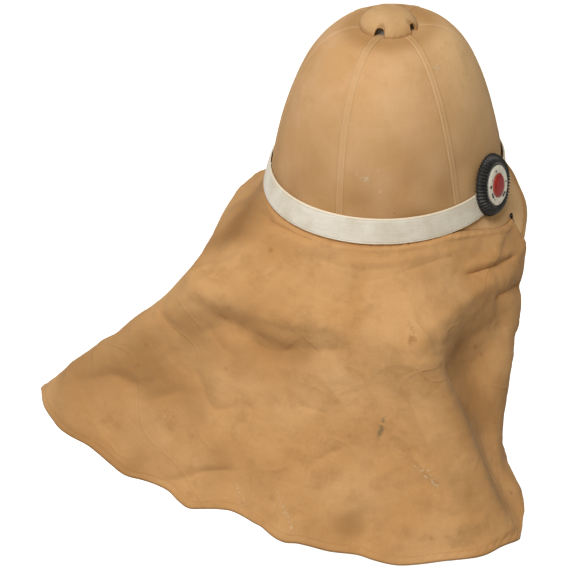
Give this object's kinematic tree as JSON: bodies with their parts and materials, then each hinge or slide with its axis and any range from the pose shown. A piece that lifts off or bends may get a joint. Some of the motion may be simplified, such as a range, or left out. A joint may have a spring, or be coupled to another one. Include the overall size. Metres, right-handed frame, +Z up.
{
  "type": "pith helmet with a neck cloth",
  "caption": "Sun helmet with a panelled cloth crown, sloping brim, leather band, round cockade, vent cap and a neck cloth hanging over the rear and sides.",
  "frame": {"origin": "middle of the head opening, level with the joint of crown and brim", "axes": "+Z up through the crown, -Y towards the front peak, +X towards the wearer's left"},
  "size_m": [0.5018, 0.4595, 0.3992],
  "materials": {
    "crown_cloth": "khaki cotton drill over cork, matt, slightly soiled",
    "binding_tape": "folded cotton tape, matt",
    "band_leather": "whitened leather with creased edges, semi-matt",
    "collar_zinc": "dull blue-grey zinc",
    "cap_cloth": "khaki cotton drill stretched over a metal button",
    "rosette_enamel": "black stove enamel on fluted sheet metal",
    "ring_enamel": "white enamel, chipped",
    "boss_enamel": "red enamel, domed",
    "neck_canvas": "creased khaki canvas with stains and a rolled hem",
    "hook_iron": "dark japanned wire"
  },
  "bodies": {
    "root": {"helmet_shell": "crown_cloth", "brim_binding": "binding_tape", "hat_band": "band_leather", "vent_collar": "collar_zinc", "vent_cap": "cap_cloth", "cockade_rosette": "rosette_enamel", "cockade_ring": "ring_enamel", "cockade_boss": "boss_enamel", "neck_cloth": "neck_canvas", "neck_cloth_hook_right": "hook_iron", "neck_cloth_hook_left": "hook_iron"}
  },
  "joints": []
}
